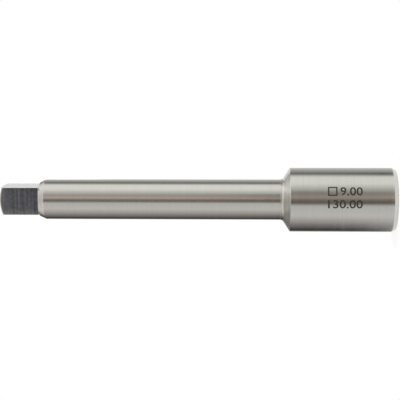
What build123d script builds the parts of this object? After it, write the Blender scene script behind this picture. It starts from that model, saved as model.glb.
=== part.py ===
"""Tap extension with a male square at one end and a square socket in its head.

One piece of steel: a turned bar with a milled square, a thicker head and a broached socket.
It stands on the socket's end face, with Z up the bar and the flats square to X and Y.
"""
import os
from math import radians, sqrt, tan

from build123d import *

# Driving dimensions, in millimetres and degrees
overall_length = 130.0        # socket face to the top of the crowned tip
across_flats = 9.0            # the square's size, shared by the tip and the socket

# Male square
square_length = 13.2          # shoulder to the top of the crowned tip
cutter_radius = 40.0          # milling disc, whose rim leaves a shallow arc at each flat's end
corner_trim = 0.05            # what turning takes off each corner of the square, on the radius
crown_height = 1.6            # rise of the domed tip above the square's corners

# Shank
shank_over_corners = 0.28     # the shank's radius stands this far outside the square's corners
shoulder_drop = 1.0           # radial depth of the cone between the shank and the shoulder
shoulder_cone_angle = 24.5    # slope of that cone, from the axis
neck_cone_angle = 58.0        # slope of the cone between the shank and the head, from the axis
neck_fillet_radius = 1.5

# Head
head_length = 34.3            # socket face to the rim where the neck's cone starts
head_wall = 4.0               # steel outside the socket's corners
head_chamfer = 0.7            # radial depth of the chamfer at the socket's end
head_chamfer_angle = 30.0     # slope of that chamfer, from the axis

# Socket
socket_clearance = 0.1        # the socket's flats stand this much wider than the square's
socket_depth = 16.0
pilot_over_flats = 0.3        # the drilled bore is this much wider than the socket's flats
pilot_run_on = 6.0            # the bore goes on this far beyond the broached square
drill_point_angle = 118.0
entry_lead = 0.3              # the countersink reaches this far outside the socket's corners

# Male square
half_flats = across_flats / 2
corner_radius = across_flats / sqrt(2) - corner_trim
shoulder_z = overall_length - square_length
half_flat_width = sqrt(corner_radius**2 - half_flats**2)
cutter_z = shoulder_z + sqrt(cutter_radius**2 - half_flat_width**2)

# Shank
shank_radius = corner_radius + shank_over_corners
shoulder_radius = shank_radius - shoulder_drop
shoulder_slope = tan(radians(shoulder_cone_angle))
shoulder_cone_z = shoulder_z - shoulder_drop / shoulder_slope

# Head and neck
socket_flats = across_flats + socket_clearance
socket_corner_radius = socket_flats / sqrt(2)
head_radius = socket_corner_radius + head_wall
face_radius = head_radius - head_chamfer
neck_z = head_length + (head_radius - shank_radius) / tan(radians(neck_cone_angle))
head_chamfer_z = head_chamfer / tan(radians(head_chamfer_angle))

# Bore
pilot_radius = (socket_flats + pilot_over_flats) / 2
pilot_depth = socket_depth + pilot_run_on
drill_point_depth = pilot_radius / tan(radians(drill_point_angle / 2))
entry_radius = socket_corner_radius + entry_lead
entry_depth = entry_radius - pilot_radius


with BuildPart() as tap_extension:
    # The turned bar: the cone at the shoulder runs in under the corners left for the square
    with BuildSketch(Plane.XZ) as bar_profile:
        with BuildLine():
            Polyline(
                (0, 0),
                (face_radius, 0),
                (head_radius, head_chamfer_z),
                (head_radius, head_length),
                (shank_radius, neck_z),
                (shank_radius, shoulder_cone_z),
                (shoulder_radius, shoulder_z),
                (corner_radius, shoulder_z),
                (corner_radius, overall_length),
                (0, overall_length),
                close=True,
            )
        make_face()
        neck_corner = bar_profile.vertices().sort_by_distance((shank_radius, neck_z))[0]
        fillet(neck_corner, neck_fillet_radius)
    revolve(axis=Axis.Z)

    # The four flats of the male square, each milled with the side of a disc
    with PolarLocations(half_flats, 4):
        with Locations((0, 0, cutter_z)):
            Cylinder(
                cutter_radius,
                corner_radius,
                rotation=(0, 90, 0),
                align=(Align.CENTER, Align.CENTER, Align.MIN),
                mode=Mode.SUBTRACT,
            )

    # The crowned tip: what lies outside the dome is turned away
    with BuildSketch(Plane.XZ):
        with BuildLine():
            crown_base = (corner_radius, overall_length - crown_height)
            crown_sphere_radius = (corner_radius**2 + crown_height**2) / (2 * crown_height)
            RadiusArc((0, overall_length), crown_base, crown_sphere_radius)
            Polyline(crown_base, (corner_radius, overall_length), (0, overall_length))
        make_face()
    revolve(axis=Axis.Z, mode=Mode.SUBTRACT)

    # The drilled bore, with its countersunk mouth and its drill point
    with BuildSketch(Plane.XZ):
        with BuildLine():
            Polyline(
                (0, 0),
                (entry_radius, 0),
                (pilot_radius, entry_depth),
                (pilot_radius, pilot_depth),
                (0, pilot_depth + drill_point_depth),
                close=True,
            )
        make_face()
    revolve(axis=Axis.Z, mode=Mode.SUBTRACT)

    # The broached square, in line with the male one
    with BuildSketch():
        Rectangle(socket_flats, socket_flats)
    extrude(amount=socket_depth, mode=Mode.SUBTRACT)

tap_extension.part.label = "tap_extension"


os.makedirs("parts", exist_ok=True)
export_step(tap_extension.part, "parts/tap_extension.step")

box = tap_extension.part.bounding_box()
print(f"size {box.size.X:.2f} x {box.size.Y:.2f} x {box.size.Z:.2f} mm")
print(f"shank {2 * shank_radius:.2f} mm, head {2 * head_radius:.2f} mm across")
print(f"corners {2 * corner_radius:.2f} mm, neck from z {neck_z:.2f} mm")
print(f"volume {tap_extension.part.volume / 1000:.2f} cm3")
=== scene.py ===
# %% [markdown]
# A tap extension is one turned steel bar. A short square at one end goes into the wrench,
# and a square socket in the thicker head takes the screw tap. This lesson gives the packed
# model its real finish: ground cylinders, turned cones, milled flats and a broached socket.
#
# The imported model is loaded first. It is the frame that every size and place here agrees with.

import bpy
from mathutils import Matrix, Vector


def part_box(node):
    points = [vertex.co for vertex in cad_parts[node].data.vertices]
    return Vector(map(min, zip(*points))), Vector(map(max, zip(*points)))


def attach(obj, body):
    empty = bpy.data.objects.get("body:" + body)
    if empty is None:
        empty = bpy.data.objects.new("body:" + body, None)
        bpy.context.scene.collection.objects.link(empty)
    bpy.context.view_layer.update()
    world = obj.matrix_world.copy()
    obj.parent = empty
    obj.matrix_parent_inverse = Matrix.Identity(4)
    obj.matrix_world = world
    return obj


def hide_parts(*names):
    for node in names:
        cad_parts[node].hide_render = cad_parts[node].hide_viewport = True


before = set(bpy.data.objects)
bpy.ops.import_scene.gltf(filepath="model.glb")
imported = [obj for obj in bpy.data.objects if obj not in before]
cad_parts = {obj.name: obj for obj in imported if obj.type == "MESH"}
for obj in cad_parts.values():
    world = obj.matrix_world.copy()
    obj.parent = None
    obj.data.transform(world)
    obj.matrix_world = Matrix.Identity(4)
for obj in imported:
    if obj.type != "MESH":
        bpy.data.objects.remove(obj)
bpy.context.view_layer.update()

# %% [markdown]
# Blender works in metres, and a drawing of a tool is in millimetres. One named unit between the
# two keeps the sizes below readable.

# %% Modules and units
from math import acos, cos, degrees, pi, radians, sin, sqrt, tan

import bmesh
import bpy
import numpy as np
from mathutils import Matrix, Vector

MM = 0.001
NODE = "tap_extension"
print(f"one millimetre is {MM} m")

# %% [markdown]
# The overall length and the head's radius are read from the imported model. The sizes that its
# box doesn't show are named here once, in millimetres, as a drawing would give them. A later
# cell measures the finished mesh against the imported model, so a wrong size would be noticed.

# %% Sizes of the bar
low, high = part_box(NODE)
overall_length = high.z / MM
head_radius = high.y / MM

half_flats = 4.5
corner_radius = 6.314
crown_height = 1.6
square_length = 13.2
cutter_radius = 40.0
shank_radius = 6.594
shoulder_drop = 1.0
shoulder_slope = radians(24.5)
neck_slope = radians(58)
neck_fillet = 1.5
head_length = 34.3
head_chamfer = 0.7
head_chamfer_slope = radians(30)

shoulder_z = overall_length - square_length
shoulder_radius = shank_radius - shoulder_drop
shoulder_cone_z = shoulder_z - shoulder_drop / tan(shoulder_slope)
neck_z = head_length + (head_radius - shank_radius) / tan(neck_slope)
face_radius = head_radius - head_chamfer
head_chamfer_z = head_chamfer / tan(head_chamfer_slope)
cutter_z = shoulder_z + sqrt(cutter_radius**2 - corner_radius**2 + half_flats**2)
crown_sphere = (corner_radius**2 + crown_height**2) / (2 * crown_height)
print(f"bar {overall_length:.1f} mm long, neck at {neck_z:.2f} mm")
print(f"head {2 * head_radius:.2f} mm across")

# %% [markdown]
# The socket takes the same square as the tip carries, with a tenth of a millimetre of play. It
# was drilled first, a little wider than the flats, so that the broach had less to cut, and the
# bore goes on below it to make room for the chips.

# %% Sizes of the socket
socket_half_flats = 4.55
socket_depth = 16.0
pilot_radius = 4.7
pilot_depth = 22.0
drill_point = radians(118) / 2
entry_radius = 6.734
drill_tip_z = pilot_depth + pilot_radius / tan(drill_point)
print(f"socket {2 * socket_half_flats:.1f} mm square and {socket_depth:.0f} mm deep")
print(f"bore ends at {drill_tip_z:.2f} mm")

# %% [markdown]
# The whole bar is a lathe shape whose radius also depends on the angle round the axis: on a
# flat the radius is the flat's distance divided by the cosine of the angle. So one grid of
# columns and rows can hold the round stretches, the flats and the socket in a single closed
# mesh. Boolean cuts would do it too, but they leave ragged faces along the curved edges, and
# those show at once on a bright metal. A grid keeps each edge where it belongs.

# %% Radius of a square at an angle
def square_radius(angle, half_width):
    """Distance from the axis to the side of a square, in the direction of an angle."""
    return half_width / max(abs(cos(angle)), abs(sin(angle)))


def crown_z(radius):
    """Height of the domed tip at a radius."""
    return overall_length - crown_sphere + sqrt(crown_sphere**2 - radius**2)


print(f"crown falls {overall_length - crown_z(half_flats):.2f} mm at the flats")

# %% [markdown]
# The bar was turned before its flats were milled, and that leaves a narrow land on each of the
# square's corners. Deburring eases the flats towards the corners by a few hundredths of a
# millimetre, so a flat looks lighter near its edge. Both are in the radius of the square, so
# every row of the mesh has them without further work.

# %% Outline of the male square
easing_width = 1.6
easing_depth = 0.025


def male_radius(angle):
    """Distance from the axis to the side of the male square, with eased and trimmed corners."""
    from_middle = abs((degrees(angle) + 45) % 90 - 45)
    across = half_flats * tan(radians(from_middle))
    into_easing = max(0.0, across - (half_flats - easing_width)) / easing_width
    eased = half_flats - easing_depth * into_easing**2
    return min(corner_radius, eased / cos(radians(from_middle)))


def socket_radius(angle):
    """Distance from the axis to the wall of the socket: a square cut over a round bore."""
    return max(pilot_radius, square_radius(angle, socket_half_flats))


print(f"male square {2 * male_radius(0):.2f} mm across flats")
print(f"male square {2 * male_radius(pi / 4):.2f} mm across corners")

# %% [markdown]
# The columns stand 1.25 degrees apart. More are added exactly where an edge runs along the
# bar: at the lands on the corners, where the flats meet the shoulder, and at the arcs that the
# bore leaves in the socket. An edge between two columns would look like a saw.

# %% Angles of the columns
def angle_of_radius(radius, search_from):
    """The first angle, in degrees, at which the male square reaches a radius."""
    angles = np.arange(search_from, 45, 0.01)
    return next(a for a in angles if male_radius(radians(a)) >= radius)


def column_angles(step=1.25):
    """Angles of the grid's columns, with the edges that run along the bar among them."""
    land_start = angle_of_radius(corner_radius, 30)
    shoulder_start = angle_of_radius(shoulder_radius, 20)
    bore_end = degrees(acos(socket_half_flats / pilot_radius))
    exact = [0.0, 45.0]
    for edge in (land_start, shoulder_start, bore_end):
        exact += [edge, 90 - edge]
    plain = [a for a in np.arange(0, 90, step) if min(abs(a - e) for e in exact) > 0.4 * step]
    quarter = sorted(exact + plain)
    return [radians(a + 90 * turn) for turn in range(4) for a in quarter]


columns = column_angles()
print(len(columns), "columns")

# %% [markdown]
# Every edge of a turned part is broken by a tenth of a millimetre or so, and that is what
# catches the light. A rounded edge here is a short curve between two points on its faces. One
# more row lies a little way out on each face, so that the smooth shading doesn't spread over
# the flat metal.

# %% Rounded edges and arcs
def rounded(before, corner, after, size, steps=4):
    """Points of a small round at a corner, with a guard row on each side of it."""
    before, corner, after = np.array(before), np.array(corner), np.array(after)
    back = (before - corner) / max(np.linalg.norm(before - corner), 1e-9)
    ahead = (after - corner) / max(np.linalg.norm(after - corner), 1e-9)
    start, end = corner + back * size, corner + ahead * size
    curve = [
        (1 - t) ** 2 * start + 2 * t * (1 - t) * corner + t**2 * end
        for t in np.linspace(0, 1, steps + 1)
    ]
    return [tuple(p) for p in [start + back * size, *curve, end + ahead * size]]


def straight(start, end, count):
    """Points between two ends, without the ends."""
    return [
        tuple(np.array(start) + (np.array(end) - np.array(start)) * i / (count + 1))
        for i in range(1, count + 1)
    ]


edge_break = 0.12
print(f"edges are broken by {edge_break} mm")

# %% [markdown]
# One meridian is the line from the tip, down the outside, round the end face and up inside
# the socket to the point that the drill left. It is made in stretches, one for each surface
# that a machinist would name, and every column has the same number of points in each stretch.
# Where a stretch has no width, as the shoulder has none at the square's corners, its points
# fall together and are merged later.

# %% Meridian of the square and its shoulder
root_radius = 0.3


def square_stretches(angle):
    """Crown, flat and shoulder, from the tip down to the cone at the shoulder."""
    radius = male_radius(angle)
    top = crown_z(radius)
    inner = (0.7 * radius, crown_z(0.7 * radius))
    crown = [(radius * t, crown_z(radius * t)) for t in np.linspace(0, 0.93, 13)]
    crown += rounded(inner, (radius, top), (radius, shoulder_z), edge_break)[1:-1]

    # The milling disc ends a flat in an arc, and the cone starts where that arc meets it.
    across = min(radius * abs(sin(angle)), radius * abs(cos(angle)))
    end_z = min(shoulder_z, cutter_z - sqrt(cutter_radius**2 - across**2))
    meeting = shoulder_radius + (shoulder_z - end_z) * tan(shoulder_slope)
    ledge = meeting - radius
    root = max(0.0, min(root_radius, 0.6 * ledge))
    wall_end = (radius, end_z + root)
    wall = [(radius, top - 2 * edge_break)]
    wall += straight(wall[0], wall_end, 6)

    turn = np.linspace(0, pi / 2, 7)
    foot = [(radius + root * (1 - cos(t)), end_z + root * (1 - sin(t))) for t in turn]

    lip = min(edge_break, 0.3 * max(ledge, 0.0))
    cone_dir = (sin(shoulder_slope), -cos(shoulder_slope))
    cone = [(meeting - lip, end_z)]
    for t in (0.35, 1.0):
        cone.append((meeting + lip * cone_dir[0] * t, end_z + lip * cone_dir[1] * t))
    cone_end = (shank_radius, shoulder_cone_z)
    cone += straight(cone[-1], cone_end, 3)
    # The ledge beside the root was turned, so the last two points of the foot go with the cone.
    return [("turned", crown), ("flat", wall + foot[:-2]), ("turned", foot[-2:] + cone)]


def count_points(stretches):
    return sum(len(line) for _, line in stretches)


print("the meridian on a flat starts with", count_points(square_stretches(0.0)), "points")

# %% [markdown]
# Below the shoulder the bar is round, so one line serves all columns: the shank, the fillet and
# the cone of the neck, the rim, the head, the end chamfer and the flat ring on which it stands.

# %% Meridian of the shank, neck and head
def bar_stretches():
    """Shank, neck, head and end, down to the mouth of the socket."""
    cone_top = (shoulder_radius, shoulder_z)
    cone_end = (shank_radius, shoulder_cone_z)
    shank_end = (shank_radius, neck_z)
    rim = (head_radius, head_length)
    shank = rounded(cone_top, cone_end, shank_end, edge_break)
    shank += straight(cone_end, shank_end, 8)

    tangent = neck_fillet * tan(neck_slope / 2)
    centre = (shank_radius + neck_fillet, neck_z + tangent)
    sweep = np.linspace(pi, pi + neck_slope, 10)
    neck = [(shank_radius, neck_z + tangent + edge_break)]
    for t in sweep:
        neck.append((centre[0] + neck_fillet * cos(t), centre[1] + neck_fillet * sin(t)))
    neck += straight(neck[-1], rim, 3)

    chamfer_top = (head_radius, head_chamfer_z)
    head = rounded(shank_end, rim, chamfer_top, edge_break)
    head += straight(rim, chamfer_top, 5)

    face_edge = (face_radius, 0.0)
    mouth = (entry_radius, 0.0)
    end = rounded(rim, chamfer_top, face_edge, edge_break)
    end += rounded(chamfer_top, face_edge, mouth, edge_break)
    end += straight(face_edge, mouth, 4)
    return [("ground", shank), ("turned", neck), ("ground", head), ("turned", end)]


print("the meridian of the bar has", count_points(bar_stretches()), "points")

# %% [markdown]
# The socket can't be seen in the photograph, but it shows in other views. It has what a
# broached socket has: a countersunk mouth, four walls, a step where the broach stopped and the
# drilled bore with its point.

# %% Meridian of the socket
def socket_stretches(angle):
    """Countersink, wall, ledge and bore, from the mouth up to the drill point."""
    radius = socket_radius(angle)
    mouth = (entry_radius, 0.0)
    wall_start = (radius, entry_radius - radius)
    wall_end = (radius, socket_depth)
    bore_start = (pilot_radius, socket_depth)
    bore_end = (pilot_radius, pilot_depth)
    lead = rounded((face_radius, 0.0), mouth, wall_start, 0.5 * edge_break)
    lead += straight(mouth, wall_start, 3)
    wall = [wall_start, (radius, wall_start[1] + edge_break)]
    wall += straight(wall[-1], wall_end, 4) + [wall_end]
    ledge = straight(wall_end, bore_start, 1)
    bore = [bore_start] + straight(bore_start, bore_end, 2) + [bore_end]
    bore += straight(bore_end, (0.0, drill_tip_z), 6) + [(0.0, drill_tip_z)]
    return [("turned", lead), ("broached", wall), ("broached", ledge), ("turned", bore)]


print("the meridian of the socket has", count_points(socket_stretches(0.0)), "points")

# %% [markdown]
# The grid becomes a mesh with one ring of faces between neighbouring rows. Each face takes
# the finish of its row. Merging closes both poles and the stretches without width, and edges
# that turn by more than 22 degrees are marked sharp, so the rest can be shaded smooth.

# %% Build the bar
FINISHES = ["ground", "turned", "flat", "broached"]


def build_bar():
    """The grid of columns and rows as a mesh, with a finish for each row of faces."""
    grid, row_finish = [], []
    for angle in columns:
        stretches = square_stretches(angle) + bar_stretches() + socket_stretches(angle)
        points = [(r, z, finish) for finish, line in stretches for r, z in line]
        grid.append([(r * cos(angle) * MM, r * sin(angle) * MM, z * MM) for r, z, _ in points])
        row_finish = [finish for _, _, finish in points]
    rows = len(row_finish)
    verts = [p for column in grid for p in column]
    faces, materials = [], []
    for j in range(len(columns)):
        following = (j + 1) % len(columns)
        for i in range(rows - 1):
            a, b = j * rows + i, following * rows + i
            faces.append((a, a + 1, b + 1, b))
            materials.append(FINISHES.index(row_finish[i]))
    mesh = bpy.data.meshes.new("bar")
    mesh.from_pydata(verts, [], faces)
    mesh.polygons.foreach_set("material_index", materials)
    return mesh


def clean(mesh, sharp_angle=radians(22)):
    """Merges what falls together and marks sharp edges. Gives open edges and volume."""
    work = bmesh.new()
    work.from_mesh(mesh)
    bmesh.ops.remove_doubles(work, verts=work.verts, dist=2e-7)
    bmesh.ops.dissolve_degenerate(work, edges=work.edges, dist=1e-7)
    bmesh.ops.recalc_face_normals(work, faces=work.faces)
    for face in work.faces:
        face.smooth = True
    for edge in work.edges:
        edge.smooth = edge.is_manifold and edge.calc_face_angle() < sharp_angle
    open_edges = sum(not edge.is_manifold for edge in work.edges)
    work.to_mesh(mesh)
    volume = work.calc_volume()
    work.free()
    return open_edges, volume


def new_object(name, data):
    """An object with this data, linked to the scene."""
    obj = bpy.data.objects.new(name, data)
    bpy.context.scene.collection.objects.link(obj)
    return obj


bar_mesh = build_bar()
open_edges, volume = clean(bar_mesh)
bar = new_object("bar", bar_mesh)
print(len(bar_mesh.polygons), "faces,", open_edges, "open edges")
print(f"volume {volume * 1e6:.2f} cm3")

# %% [markdown]
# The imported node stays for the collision, and this bar stands for it in the picture. Each
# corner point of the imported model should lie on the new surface, so the largest distance
# between the two says whether a size above is wrong.

# %% Put the bar in the frame
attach(bar, "root")
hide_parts(NODE)

bpy.context.view_layer.update()
packed_points = [v.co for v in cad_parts[NODE].data.vertices]
offsets = [(bar.closest_point_on_mesh(p)[1] - p).length for p in packed_points]
print(f"largest distance from the packed model {max(offsets) / MM:.3f} mm")

# %% [markdown]
# A finish is a shader with its own small set of nodes. Steel has no colour under its surface,
# so the metal's tint, its roughness and the direction of its scratches make the whole look. A
# turned or ground surface has fine lines round the axis. They blur a reflection along the bar
# and leave it crisp across, which gives the long clean stripes. In the shader that is
# anisotropy, with a tangent that runs round the Z axis.

# %% Helpers for node materials
def new_material(name):
    """A material with its node tree and its Principled shader."""
    material = bpy.data.materials.new(name)
    material.use_nodes = True
    tree = material.node_tree
    shader = tree.nodes["Principled BSDF"]
    return material, tree, shader


def add(tree, kind, **settings):
    """Adds a node and sets what is given by name."""
    node = tree.nodes.new(kind)
    for key, value in settings.items():
        setattr(node, key, value)
    return node


def lines(tree, scale, detail=3.0, roughness=0.6):
    """Noise stretched into lines: the scale along each axis is in waves per metre."""
    place = add(tree, "ShaderNodeTexCoord")
    stretch = add(tree, "ShaderNodeMapping")
    stretch.inputs["Scale"].default_value = scale
    noise = add(tree, "ShaderNodeTexNoise", noise_dimensions="3D")
    noise.inputs["Scale"].default_value = 1.0
    noise.inputs["Detail"].default_value = detail
    noise.inputs["Roughness"].default_value = roughness
    tree.links.new(place.outputs["Object"], stretch.inputs["Vector"])
    tree.links.new(stretch.outputs["Vector"], noise.inputs["Vector"])
    return noise.outputs["Fac"]


def spread(tree, value, from_range, to_range):
    """Maps a value from one range to another."""
    node = add(tree, "ShaderNodeMapRange")
    sockets = ("From Min", "From Max", "To Min", "To Max")
    for socket, number in zip(sockets, from_range + to_range):
        node.inputs[socket].default_value = number
    tree.links.new(value, node.inputs["Value"])
    return node.outputs["Result"]


def blend_colours(tree, factor, dark, light):
    """Goes from the dark colour at 0 to the light one at 1."""
    node = add(tree, "ShaderNodeMix", data_type="RGBA")
    node.inputs["A"].default_value = (*dark, 1)
    node.inputs["B"].default_value = (*light, 1)
    tree.links.new(factor, node.inputs["Factor"])
    return node.outputs["Result"]


def brush_round(tree, shader, anisotropy=0.6):
    """Scratches run round the Z axis."""
    tangent = add(tree, "ShaderNodeTangent", direction_type="RADIAL", axis="Z")
    tree.links.new(tangent.outputs["Tangent"], shader.inputs["Tangent"])
    shader.inputs["Anisotropic"].default_value = anisotropy
    shader.inputs["Anisotropic Rotation"].default_value = 0.25


# Noise stays mostly between these two values, so they are the ends of most spreads.
NOISE = (0.3, 0.7)
print("node helpers ready")

# %% [markdown]
# The shank and the head are ground: the lines are so fine that they only soften the
# reflection, with a few stronger ones that the eye can just follow. The tint is a warm light
# grey. Noise stretched round the bar gives both kinds of line.

# %% Ground steel
finishes = {}


def ground_steel():
    material, tree, shader = new_material("ground_surface")
    shader.inputs["Metallic"].default_value = 1.0
    fine = lines(tree, (40, 40, 5200), detail=4.0)
    shade = spread(tree, fine, NOISE, (0.0, 1.0))
    tint = blend_colours(tree, shade, (0.60, 0.59, 0.56), (0.65, 0.64, 0.61))
    tree.links.new(tint, shader.inputs["Base Color"])
    broad = lines(tree, (60, 60, 900))
    tree.links.new(spread(tree, broad, NOISE, (0.16, 0.22)), shader.inputs["Roughness"])
    brush_round(tree, shader)
    return material


finishes["ground"] = ground_steel()
print("made", finishes["ground"].name)

# %% [markdown]
# The cones, the fillet, the chamfer and the crown come straight from the lathe. They have the
# same lines as the ground surfaces, but coarser, so they are duller and show no sharp stripe.

# %% Turned steel
def turned_steel():
    material, tree, shader = new_material("turned_surface")
    shader.inputs["Metallic"].default_value = 1.0
    fine = lines(tree, (60, 60, 4000), detail=4.0)
    shade = spread(tree, fine, NOISE, (0.0, 1.0))
    tint = blend_colours(tree, shade, (0.56, 0.55, 0.52), (0.66, 0.65, 0.62))
    tree.links.new(tint, shader.inputs["Base Color"])
    tree.links.new(spread(tree, fine, NOISE, (0.24, 0.32)), shader.inputs["Roughness"])
    brush_round(tree, shader)
    return material


finishes["turned"] = turned_steel()
print("made", finishes["turned"].name)

# %% [markdown]
# The flats have their own marks: the cutter's lines, and wear towards one edge. To place such
# marks on all four flats alike, the finish needs the height on the bar and the distance across
# the flat. The second is the position along the direction that is square to both the axis and
# the flat's normal, so no flat needs a pattern of its own.

# %% Place on a flat
def place_on_flat(tree):
    """Height on the bar in millimetres, and the distance across a flat from its middle."""
    place = add(tree, "ShaderNodeTexCoord")
    side = add(tree, "ShaderNodeVectorMath", operation="CROSS_PRODUCT")
    side.inputs[0].default_value = (0, 0, 1 / MM)
    tree.links.new(place.outputs["Normal"], side.inputs[1])
    across = add(tree, "ShaderNodeVectorMath", operation="DOT_PRODUCT")
    tree.links.new(side.outputs["Vector"], across.inputs[0])
    tree.links.new(place.outputs["Object"], across.inputs[1])
    split = add(tree, "ShaderNodeSeparateXYZ")
    tree.links.new(place.outputs["Object"], split.inputs["Vector"])
    height = add(tree, "ShaderNodeMath", operation="MULTIPLY")
    height.inputs[1].default_value = 1 / MM
    tree.links.new(split.outputs["Z"], height.inputs[0])
    return height.outputs["Value"], across.outputs["Value"]


def combine(tree, operation, first, second):
    """Sum, product and so on of two values, each a number or a socket."""
    node = add(tree, "ShaderNodeMath", operation=operation)
    for socket, value in zip(node.inputs, (first, second)):
        if isinstance(value, (int, float)):
            socket.default_value = value
        else:
            tree.links.new(value, socket)
    return node.outputs["Value"]


print("place on a flat: height and distance across, in millimetres")

# %% [markdown]
# The flats are painted as the darkest metal here. They were milled across the bar and never
# ground, and their nearly black tint from the front is painted shade, a painted dark reflection.
# A trace of oil makes them bright where the eye meets them at a low angle; the oil is the
# shader's coat. The lines cross the flat, one of them stronger than the rest, wear has
# brightened one edge and the end of the tip, and painted shade darkens each flat towards the
# shoulder.

# %% Milled steel
# Heights on the bar and distances across a flat, in millimetres
wear_start, wear_end = -2.4, -4.2
shoulder_shade_start, shoulder_shade_end = 119.0, 117.0
tip_start, tip_end = 124.8, 128.8
line_height = 123.0
line_core, line_edge = 0.15, 0.35
line_across = (-3.0, -1.5)


def milled_steel():
    material, tree, shader = new_material("milled_painted_shade")
    shader.inputs["Metallic"].default_value = 1.0
    height, across = place_on_flat(tree)
    streaks = lines(tree, (70, 70, 1500), detail=3.0)
    patches = lines(tree, (900, 900, 700), detail=3.0)
    wear = spread(tree, across, (wear_start, wear_end), (0.0, 0.45))
    # Painted shade: each flat is darkened towards the shoulder, where it runs into the cone.
    root = spread(tree, height, (shoulder_shade_start, shoulder_shade_end), (0.0, -0.25))
    tip = spread(tree, height, (tip_start, tip_end), (0.0, 0.50))

    from_line = combine(tree, "SUBTRACT", height, line_height)
    from_line = combine(tree, "ABSOLUTE", from_line, 0.0)
    line = spread(tree, from_line, (line_core, line_edge), (0.40, 0.0))
    line = combine(tree, "MULTIPLY", line, spread(tree, across, line_across, (0.0, 1.0)))

    tone = combine(
        tree,
        "ADD",
        spread(tree, streaks, (0.35, 0.7), (0.0, 0.5)),
        spread(tree, patches, (0.35, 0.65), (0.0, 0.32)),
    )
    for change in (wear, root, tip, line):
        tone = combine(tree, "ADD", tone, change)
    # Painted shade: this nearly black tint stands in for the dark reflection the flats show from
    # the front.
    tint = blend_colours(tree, tone, (0.043, 0.046, 0.059), (0.195, 0.20, 0.215))
    tree.links.new(tint, shader.inputs["Base Color"])
    tree.links.new(spread(tree, streaks, NOISE, (0.32, 0.42)), shader.inputs["Roughness"])
    shader.inputs["Coat Weight"].default_value = 1.0
    shader.inputs["Coat Roughness"].default_value = 0.2
    shader.inputs["Coat IOR"].default_value = 1.6
    brush_round(tree, shader)
    return material


finishes["flat"] = milled_steel()
print("made", finishes["flat"].name)

# %% [markdown]
# A broach is pulled straight through, so the lines in the socket run along the bar. Little
# light gets in there, and the steel's darker grey tint is painted shade for that recess.

# %% Broached steel
def broached_steel():
    material, tree, shader = new_material("broached_painted_shade")
    shader.inputs["Metallic"].default_value = 1.0
    pulls = lines(tree, (3000, 3000, 30), detail=2.0)
    shade = spread(tree, pulls, NOISE, (0.0, 1.0))
    # Painted shade: the socket's walls are tinted a darker grey than the steel outside.
    tint = blend_colours(tree, shade, (0.38, 0.37, 0.35), (0.55, 0.54, 0.51))
    tree.links.new(tint, shader.inputs["Base Color"])
    tree.links.new(spread(tree, pulls, NOISE, (0.28, 0.4)), shader.inputs["Roughness"])
    return material


finishes["broached"] = broached_steel()
for finish in FINISHES:
    bar_mesh.materials.append(finishes[finish])
print("finishes:", [m.name for m in bar_mesh.materials])

# %% [markdown]
# The camera looks straight at the bar from one side, and is turned by a quarter turn so that
# the standing bar lies across the picture with its square on the left. It stands a little
# nearer to the socket, which is why the end chamfer shows and the tip's crown does too.

# %% Camera
turn_of_square = radians(10.4)
towards_camera = Vector((sin(turn_of_square), -cos(turn_of_square), 0))
picture_up = Vector((cos(turn_of_square), sin(turn_of_square), 0))

camera_distance = 0.3417
camera_lean = radians(2.83)
aim_z = 0.06374
aim_shift = 0.0002
camera_roll = radians(0.145)
picture_width_px = 400
focal_length_px = 1037

camera_data = bpy.data.cameras.new("camera")
camera_data.sensor_width = 36
camera_data.lens = camera_data.sensor_width * focal_length_px / picture_width_px
camera_data.clip_start = 0.01
camera_data.clip_end = 20
camera = new_object("camera", camera_data)
bpy.context.scene.camera = camera

along_bar = Vector((0, 0, -1))
right = along_bar * cos(camera_lean) - towards_camera * sin(camera_lean)
backward = along_bar * sin(camera_lean) + towards_camera * cos(camera_lean)
aim = Vector((0, 0, aim_z)) - picture_up * aim_shift
turned = Matrix((right, picture_up, backward)).transposed()
rolled = turned @ Matrix.Rotation(camera_roll, 3, "Z")
camera.matrix_world = Matrix.Translation(aim + backward * camera_distance) @ rolled.to_4x4()
print("camera at", [round(c, 4) for c in camera.matrix_world.translation])

# %% [markdown]
# The head carries its size: a small square, the width of the flats and the overall length in
# millimetres. A laser writes such a mark, and it has no depth that a finger can feel. It
# starts as flat letters and a flat frame, because Blender has a font but no letters on a round.

# %% Flat shapes of the size mark
mark_z = 22.5
mark_length = 11.0
mark_proud = 0.010
mark_sunk = 0.015


def flat_text(text, left, right, bottom, top):
    """Letters as a mesh that fills a box: x along the bar, y round it, z through the film."""
    curve = bpy.data.curves.new("text", "FONT")
    curve.body = text
    curve.extrude = 0.5
    curve.offset = 0.015
    curve.resolution_u = 4
    letters = bpy.data.objects.new("text", curve)
    mesh = bpy.data.meshes.new_from_object(letters)
    points = np.array([v.co for v in mesh.vertices])
    first, last = points.min(0), points.max(0)
    fitted = (points - first) / (last - first) * (right - left, top - bottom, 1)
    fitted += (left, bottom, 0)
    mesh.vertices.foreach_set("co", fitted.ravel())
    bpy.data.objects.remove(letters)
    return mesh


def flat_frame(left, right, bottom, top, width):
    """A square outline as a mesh."""
    outer = [(left, bottom), (right, bottom), (right, top), (left, top)]
    inner = [(left + width, bottom + width), (right - width, bottom + width)]
    inner += [(right - width, top - width), (left + width, top - width)]
    verts = [(x, y, z) for z in (0, 1) for x, y in outer + inner]
    faces = []
    for i in range(4):
        j = (i + 1) % 4
        faces += [(i, i + 4, j + 4, j), (8 + i, 8 + j, 12 + j, 12 + i)]
        faces += [(i, j, 8 + j, 8 + i), (4 + j, 4 + i, 12 + i, 12 + j)]
    mesh = bpy.data.meshes.new("frame")
    mesh.from_pydata(verts, [], faces)
    return mesh


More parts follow.
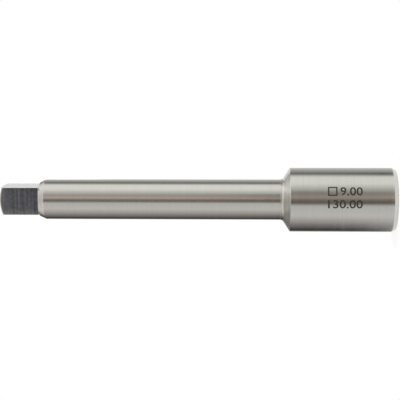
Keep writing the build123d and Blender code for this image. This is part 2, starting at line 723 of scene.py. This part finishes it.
shapes = [
    flat_frame(0.0, 3.0, 1.2, 4.2, 0.42),
    flat_text("9.00", 3.9, mark_length, 1.3, 4.1),
    flat_text("130.00", 0.0, mark_length, -2.8, -0.1),
]
print("mark of", sum(len(m.vertices) for m in shapes), "points")

# %% [markdown]
# The flat shapes are cut into narrow strips, because a long flat face can't bend, and then
# every point is wrapped round the head. The mark is a dark film a few microns proud of the
# steel, and it reaches a little way in, so no gap shows under its edge.

# %% Wrap the mark round the head
def wrapped(shapes, strip=0.4):
    """The flat shapes as one film on the head. Gives the mesh and its open edges."""
    work = bmesh.new()
    for mesh in shapes:
        work.from_mesh(mesh)
    bmesh.ops.remove_doubles(work, verts=work.verts, dist=1e-4)
    for cut in np.arange(-2.6, 4.2, strip):
        bmesh.ops.bisect_plane(
            work,
            geom=work.verts[:] + work.edges[:] + work.faces[:],
            dist=1e-5,
            plane_co=(0, cut, 0),
            plane_no=(0, 1, 0),
        )
    for vert in work.verts:
        along, around, through = vert.co
        radius = head_radius + (mark_proud if through > 0.5 else -mark_sunk)
        angle = around / head_radius
        side = towards_camera * cos(angle) + picture_up * sin(angle)
        vert.co = side * radius * MM + Vector((0, 0, (mark_z - along) * MM))
    bmesh.ops.recalc_face_normals(work, faces=work.faces)
    open_edges = sum(not edge.is_manifold for edge in work.edges)
    mesh = bpy.data.meshes.new("size_mark")
    work.to_mesh(mesh)
    work.free()
    return mesh, open_edges


def marked_steel():
    material, tree, shader = new_material("laser_film")
    grain = lines(tree, (2500, 2500, 2500), detail=2.0)
    shade = spread(tree, grain, NOISE, (0.0, 1.0))
    tint = blend_colours(tree, shade, (0.030, 0.024, 0.020), (0.075, 0.065, 0.055))
    tree.links.new(tint, shader.inputs["Base Color"])
    shader.inputs["Roughness"].default_value = 0.45
    return material


mark_mesh, mark_open_edges = wrapped(shapes)
mark_mesh.materials.append(marked_steel())
mark = new_object("size_mark", mark_mesh)
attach(mark, "root")
print(len(mark_mesh.polygons), "faces in the mark,", mark_open_edges, "open edges")

# %% [markdown]
# A bright bar shows what stands round it, so the light is set by cards and not by lamps. The
# room is plain white. Curved cards stand round the bar, each between two angles, with a tone
# at each edge. Angle 0 is towards the camera, and positive angles go to the upper side of the
# picture. The camera doesn't see the cards, and the metal does. A round mirror doubles the
# angle, so a stripe where the metal faces 20 degrees upwards shows the card at 40 degrees.
#
# The camera stands near the bar's middle, so the head mirrors what is low, the shank what is a
# little higher, and the cones and the fillet what is high up. That gives three tiers.

# %% Tiers of the cards
card_distance = 0.70
near_distance = 0.69
LOW, MIDDLE, HIGH = (-0.6, 0.02), (0.02, 0.55), (0.55, 2.0)
BOTH = (LOW[0], MIDDLE[1])
HEAD, END = (-0.095, LOW[1]), (LOW[0], -0.095)

ICE, COOL, CREAM = (0.98, 0.98, 1.0), (1.0, 1.0, 0.98), (1.0, 1.0, 0.96)
PLAIN, ROSE, SAND = (1.0, 0.99, 0.96), (1.0, 0.95, 0.93), (1.0, 0.96, 0.90)
WARM, SKIN, BLUSH = (1.0, 0.88, 0.78), (1.0, 0.85, 0.76), (1.0, 0.97, 0.96)
WHITE = (1.0, 1.0, 1.0)
print("tiers meet at", LOW[1], "and", MIDDLE[1], "m above the floor")

# %% [markdown]
# The grey line near the upper edge is one narrow card between two light ones. A warm card and a
# dark one stand beside the camera and give the two stripes in the middle, and the lower edge
# falls off into a dark side of the room. At the socket's end the photograph is lighter along
# the lower edge and darker along the upper line, and the two end cards do that.
#
# Eight smaller cards hang a centimetre in front of the others, each for one surface. The strip
# lights the square's upper flat, the glint lights the upper side of the fillet, one warms the
# lower side of the shank towards the tip, and the dark ones serve the foot of the shank, the
# fillet's lower side and the upper edges of the cones.

# %% Cards round the bar
CARDS = [
    ("head_white", 60, 87, 0.97, 0.97, CREAM, LOW),
    ("shank_white", 60, 87, 1.04, 1.04, CREAM, MIDDLE),
    ("upper_fall", 87, 106, 1.0, 0.22, CREAM, BOTH),
    ("upper_line", 106, 112, 0.18, 0.18, COOL, BOTH),
    ("upper_rise", 112, 145, 0.30, 0.65, COOL, BOTH),
    ("upper_back", 145, 180, 0.62, 0.85, COOL, BOTH),
    ("lower", -60, -22, 0.73, 0.65, COOL, BOTH),
    ("lower_tip", -60, -22, 0.75, 0.67, BLUSH, (0.14, 0.55), near_distance),
    ("lower_back", -180, -140, 0.40, 0.05, PLAIN, (END[1], MIDDLE[1])),
    ("lower_end", -160, -60, 0.52, 0.80, ICE, END),
    ("upper_end", 98, 116, 0.08, 0.08, COOL, END, near_distance),
    ("head_fall", -100, -60, 0.26, 0.73, ROSE, HEAD),
    ("head_dark", -140, -100, 0.02, 0.24, ROSE, HEAD),
    ("shank_fall", -100, -60, 0.35, 0.73, ROSE, MIDDLE),
    ("shank_dark", -140, -100, 0.03, 0.35, ROSE, MIDDLE),
    ("head_slope", 23, 60, 0.30, 0.97, CREAM, LOW),
    ("head_warm", 4, 23, 0.46, 0.33, SKIN, LOW),
    ("head_camera", -12, 4, 0.10, 0.30, WARM, LOW),
    ("head_edge", -22, -12, 0.60, 0.10, PLAIN, LOW),
    ("shank_slope", 23, 60, 0.44, 1.04, CREAM, MIDDLE),
    ("shank_warm", 3, 23, 0.66, 0.47, SKIN, MIDDLE),
    ("shank_camera", -12, 3, 0.17, 0.36, WARM, MIDDLE),
    ("shank_edge", -22, -12, 0.60, 0.16, PLAIN, MIDDLE),
    ("shank_foot", -8, 32, 0.12, 0.08, WARM, (0.0, 0.03), near_distance),
    ("high_upper", 35, 110, 0.85, 1.10, COOL, HIGH),
    ("high_upper_back", 110, 180, 1.10, 0.36, CREAM, HIGH),
    ("high_camera", -25, 35, 0.76, 0.80, SAND, HIGH),
    ("high_lower", -110, -25, 0.88, 1.08, SAND, HIGH),
    ("high_lower_top", -110, -25, 0.35, 0.55, COOL, (1.25, 2.0), near_distance),
    ("high_lower_back", -180, -110, 0.02, 0.65, PLAIN, HIGH),
    ("strip", 153, 165, 1.4, 1.4, COOL, (0.20, 0.36), near_distance),
    ("neck_line", 165, 180, 0.30, 0.30, COOL, (0.28, 0.55), near_distance),
    ("cone_line", 140, 153, 0.16, 0.16, COOL, (0.36, 0.62), near_distance),
    ("glint", 90, 145, 1.5, 1.5, COOL, (0.95, 2.0), near_distance),
]


def glowing(name):
    """A material that glows with the tone stored at each point."""
    material = bpy.data.materials.new(name)
    material.use_nodes = True
    tree = material.node_tree
    tree.nodes.remove(tree.nodes["Principled BSDF"])
    glow = add(tree, "ShaderNodeEmission")
    tone = add(tree, "ShaderNodeAttribute", attribute_name="tone")
    tree.links.new(tone.outputs["Color"], glow.inputs["Color"])
    tree.links.new(glow.outputs["Emission"], tree.nodes["Material Output"].inputs["Surface"])
    return material


card_material = glowing("card")


def card_object(name, verts, faces, tones, tint):
    """A card with one tone for each point. The camera doesn't see it."""
    mesh = bpy.data.meshes.new(name)
    mesh.from_pydata(verts, [], faces)
    colour = mesh.color_attributes.new("tone", "FLOAT_COLOR", "POINT")
    shades = [(*(tone * part for part in tint), 1) for tone in tones]
    colour.data.foreach_set("color", np.array(shades).ravel())
    mesh.materials.append(card_material)
    obj = new_object("card_" + name, mesh)
    obj.visible_camera = False
    return obj


def arc(start, end, start_tone, end_tone, distance):
    """Places on a circle round the bar, each with its tone."""
    steps = max(2, round(abs(end - start) / 3))
    places = []
    for t in np.linspace(0, 1, steps + 1):
        angle = turn_of_square + radians(start + (end - start) * t) - pi / 2
        tone = start_tone + (end_tone - start_tone) * t
        places.append((distance * cos(angle), distance * sin(angle), tone))
    return places


def card(name, start, end, start_tone, end_tone, tint, tier, distance=card_distance):
    """A curved card that stands round the bar."""
    places = arc(start, end, start_tone, end_tone, distance)
    verts = [(x, y, z) for x, y, _ in places for z in tier]
    tones = [tone for _, _, tone in places for _ in tier]
    faces = [(2 * i, 2 * i + 1, 2 * i + 3, 2 * i + 2) for i in range(len(places) - 1)]
    return card_object(name, verts, faces, tones, tint)


cards = [card(*values) for values in CARDS]
print(len(cards), "cards round the bar")

# %% [markdown]
# Two level cards close the room above the bar. The fillet below the shank and the crown of the
# tip look up there. Below the floor, each card that reaches that low goes on as a slice of a
# disc, so that the stripes stay on the bar when it is seen from above.

# %% Cards above and below the bar
def level_card(name, start, end, start_tone, end_tone, tint, z):
    """A slice of a disc between two angles."""
    verts, tones = [], []
    places = arc(start, end, start_tone, end_tone, card_distance)
    for (x0, y0, tone0), (x1, y1, tone1) in zip(places, places[1:]):
        verts += [(0, 0, z), (x0, y0, z), (x1, y1, z)]
        tones += [(tone0 + tone1) / 2, tone0, tone1]
    faces = [(i, i + 1, i + 2) for i in range(0, len(verts), 3)]
    return card_object(name, verts, faces, tones, tint)


level_cards = [
    level_card("ceiling_upper", 0, 180, 0.95, 0.95, WHITE, HIGH[1]),
    level_card("ceiling_lower", -180, 0, 0.60, 0.60, WHITE, HIGH[1]),
]
for name, *slice_values, tier in (values for values in CARDS if len(values) == 7):
    if tier[0] == LOW[0]:
        level_cards.append(level_card("under_" + name, *slice_values, LOW[0]))
print(len(level_cards), "level cards")

# %% [markdown]
# The floor is a small white pad under the head. A wide one would be mirrored far up the head,
# and the photograph shows the stripes right to the socket's end, because there the bar lies
# on its side. The pad's own glow makes it as white as the room, also in the metal, and the
# soft shadow where the bar stands stays visible. It lies a hair below the end face, so the two
# faces don't share one plane.

# %% Floor and room
floor_radius = 0.016
floor_z = -0.00005
floor_sides = 96
floor_colour = 0.6
floor_glow = 0.66


def floor_material():
    material, tree, shader = new_material("floor")
    shader.inputs["Base Color"].default_value = (*[floor_colour] * 3, 1)
    shader.inputs["Roughness"].default_value = 1.0
    shader.inputs["Specular IOR Level"].default_value = 0.0
    shader.inputs["Emission Color"].default_value = (1, 1, 1, 1)
    path = add(tree, "ShaderNodeLightPath")
    seen = combine(tree, "MAXIMUM", path.outputs["Is Camera Ray"], path.outputs["Is Glossy Ray"])
    seen = combine(tree, "MAXIMUM", seen, path.outputs["Is Transmission Ray"])
    glow = combine(tree, "MULTIPLY", seen, floor_glow)
    tree.links.new(glow, shader.inputs["Emission Strength"])
    return material


ring = [2 * pi * i / floor_sides for i in range(floor_sides)]
rim = [(floor_radius * cos(a), floor_radius * sin(a), floor_z) for a in ring]
floor_mesh = bpy.data.meshes.new("floor")
floor_mesh.from_pydata(rim, [], [range(floor_sides)])
floor_mesh.materials.append(floor_material())
floor = new_object("floor", floor_mesh)

world = bpy.data.worlds.new("white_room")
world.use_nodes = True
background = world.node_tree.nodes["Background"]
background.inputs["Color"].default_value = (1, 1, 1, 1)
background.inputs["Strength"].default_value = 1.0
bpy.context.scene.world = world
bpy.context.scene.view_settings.view_transform = "Standard"
print("floor and room ready")
